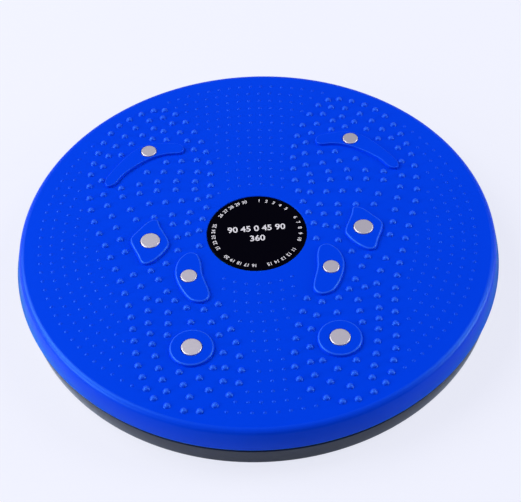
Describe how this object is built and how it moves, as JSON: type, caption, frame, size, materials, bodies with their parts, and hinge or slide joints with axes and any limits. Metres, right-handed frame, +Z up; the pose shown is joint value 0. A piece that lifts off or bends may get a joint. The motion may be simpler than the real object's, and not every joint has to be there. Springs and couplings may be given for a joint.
{
  "type": "waist twisting disc",
  "caption": "Round standing plate with foot-shaped fields of massage nubs and magnets that spins on a caged ball ring over a low round base.",
  "frame": {"origin": "on the floor under the centre of the disc", "axes": "+Z up along the pivot, +Y towards the toes of the foot fields, +X to the right foot"},
  "size_m": [0.28, 0.28, 0.0321],
  "materials": {
    "top_plastic": "royal blue moulded plastic, semi-gloss",
    "base_plastic": "dark grey moulded plastic, satin",
    "label_plastic": "black plastic label plate with a white graduated ring",
    "magnet_plate": "nickel-plated magnet discs",
    "race_steel": "pressed bearing steel, lightly oiled",
    "ball_steel": "polished bearing balls",
    "cage_plastic": "natural moulded plastic",
    "bush_plastic": "natural acetal",
    "zinc_steel": "zinc-plated fasteners",
    "foot_rubber": "black rubber pads"
  },
  "bodies": {
    "base": {"base_disc": "base_plastic", "lower_race": "race_steel", "pivot_bushing": "bush_plastic", "rubber_foot_1": "foot_rubber", "rubber_foot_2": "foot_rubber", "rubber_foot_3": "foot_rubber", "rubber_foot_4": "foot_rubber", "rubber_foot_5": "foot_rubber", "rubber_foot_6": "foot_rubber"},
    "turntable": {"top_disc": "top_plastic", "centre_label": "label_plastic", "upper_race": "race_steel", "pivot_bolt": "zinc_steel", "pivot_washer": "zinc_steel", "lock_nut": "zinc_steel", "magnet_left_toe": "magnet_plate", "magnet_left_outer": "magnet_plate", "magnet_left_arch": "magnet_plate", "magnet_left_heel": "magnet_plate", "magnet_right_toe": "magnet_plate", "magnet_right_outer": "magnet_plate", "magnet_right_arch": "magnet_plate", "magnet_right_heel": "magnet_plate"},
    "cage": {"ball_cage": "cage_plastic"},
    "roller_01": {"ball_01": "ball_steel"},
    "roller_02": {"ball_02": "ball_steel"},
    "roller_03": {"ball_03": "ball_steel"},
    "roller_04": {"ball_04": "ball_steel"},
    "roller_05": {"ball_05": "ball_steel"},
    "roller_06": {"ball_06": "ball_steel"},
    "roller_07": {"ball_07": "ball_steel"},
    "roller_08": {"ball_08": "ball_steel"},
    "roller_09": {"ball_09": "ball_steel"},
    "roller_10": {"ball_10": "ball_steel"},
    "roller_11": {"ball_11": "ball_steel"},
    "roller_12": {"ball_12": "ball_steel"},
    "roller_13": {"ball_13": "ball_steel"},
    "roller_14": {"ball_14": "ball_steel"},
    "roller_15": {"ball_15": "ball_steel"},
    "roller_16": {"ball_16": "ball_steel"}
  },
  "joints": [
    {"name": "disc_spin", "type": "hinge", "parent": "base", "child": "turntable", "pos_m": [0, 0, 0.0165], "axis": [0, 0, 1], "continuous": true},
    {"name": "cage_orbit", "type": "hinge", "parent": "base", "child": "cage", "pos_m": [0, 0, 0.01425], "axis": [0, 0, 1], "continuous": true},
    {"name": "ball_spin_01", "type": "hinge", "parent": "cage", "child": "roller_01", "pos_m": [0.08, 0, 0.01425], "axis": [1, 0, 0], "continuous": true},
    {"name": "ball_spin_02", "type": "hinge", "parent": "cage", "child": "roller_02", "pos_m": [0.07391, 0.03061, 0.01425], "axis": [0.9239, 0.3827, 0], "continuous": true},
    {"name": "ball_spin_03", "type": "hinge", "parent": "cage", "child": "roller_03", "pos_m": [0.05657, 0.05657, 0.01425], "axis": [0.7071, 0.7071, 0], "continuous": true},
    {"name": "ball_spin_04", "type": "hinge", "parent": "cage", "child": "roller_04", "pos_m": [0.03061, 0.07391, 0.01425], "axis": [0.3827, 0.9239, 0], "continuous": true},
    {"name": "ball_spin_05", "type": "hinge", "parent": "cage", "child": "roller_05", "pos_m": [0, 0.08, 0.01425], "axis": [0, 1, 0], "continuous": true},
    {"name": "ball_spin_06", "type": "hinge", "parent": "cage", "child": "roller_06", "pos_m": [-0.03061, 0.07391, 0.01425], "axis": [-0.3827, 0.9239, 0], "continuous": true},
    {"name": "ball_spin_07", "type": "hinge", "parent": "cage", "child": "roller_07", "pos_m": [-0.05657, 0.05657, 0.01425], "axis": [-0.7071, 0.7071, 0], "continuous": true},
    {"name": "ball_spin_08", "type": "hinge", "parent": "cage", "child": "roller_08", "pos_m": [-0.07391, 0.03061, 0.01425], "axis": [-0.9239, 0.3827, 0], "continuous": true},
    {"name": "ball_spin_09", "type": "hinge", "parent": "cage", "child": "roller_09", "pos_m": [-0.08, 0, 0.01425], "axis": [-1, 0, 0], "continuous": true},
    {"name": "ball_spin_10", "type": "hinge", "parent": "cage", "child": "roller_10", "pos_m": [-0.07391, -0.03061, 0.01425], "axis": [-0.9239, -0.3827, 0], "continuous": true},
    {"name": "ball_spin_11", "type": "hinge", "parent": "cage", "child": "roller_11", "pos_m": [-0.05657, -0.05657, 0.01425], "axis": [-0.7071, -0.7071, 0], "continuous": true},
    {"name": "ball_spin_12", "type": "hinge", "parent": "cage", "child": "roller_12", "pos_m": [-0.03061, -0.07391, 0.01425], "axis": [-0.3827, -0.9239, 0], "continuous": true},
    {"name": "ball_spin_13", "type": "hinge", "parent": "cage", "child": "roller_13", "pos_m": [0, -0.08, 0.01425], "axis": [0, -1, 0], "continuous": true},
    {"name": "ball_spin_14", "type": "hinge", "parent": "cage", "child": "roller_14", "pos_m": [0.03061, -0.07391, 0.01425], "axis": [0.3827, -0.9239, 0], "continuous": true},
    {"name": "ball_spin_15", "type": "hinge", "parent": "cage", "child": "roller_15", "pos_m": [0.05657, -0.05657, 0.01425], "axis": [0.7071, -0.7071, 0], "continuous": true},
    {"name": "ball_spin_16", "type": "hinge", "parent": "cage", "child": "roller_16", "pos_m": [0.07391, -0.03061, 0.01425], "axis": [0.9239, -0.3827, 0], "continuous": true}
  ],
  "couplings": [
    {"joint": "cage_orbit", "follows": "disc_spin", "ratio": 0.5},
    {"joint": "ball_spin_01", "follows": "disc_spin", "ratio": -10},
    {"joint": "ball_spin_02", "follows": "disc_spin", "ratio": -10},
    {"joint": "ball_spin_03", "follows": "disc_spin", "ratio": -10},
    {"joint": "ball_spin_04", "follows": "disc_spin", "ratio": -10},
    {"joint": "ball_spin_05", "follows": "disc_spin", "ratio": -10},
    {"joint": "ball_spin_06", "follows": "disc_spin", "ratio": -10},
    {"joint": "ball_spin_07", "follows": "disc_spin", "ratio": -10},
    {"joint": "ball_spin_08", "follows": "disc_spin", "ratio": -10},
    {"joint": "ball_spin_09", "follows": "disc_spin", "ratio": -10},
    {"joint": "ball_spin_10", "follows": "disc_spin", "ratio": -10},
    {"joint": "ball_spin_11", "follows": "disc_spin", "ratio": -10},
    {"joint": "ball_spin_12", "follows": "disc_spin", "ratio": -10},
    {"joint": "ball_spin_13", "follows": "disc_spin", "ratio": -10},
    {"joint": "ball_spin_14", "follows": "disc_spin", "ratio": -10},
    {"joint": "ball_spin_15", "follows": "disc_spin", "ratio": -10},
    {"joint": "ball_spin_16", "follows": "disc_spin", "ratio": -10}
  ]
}
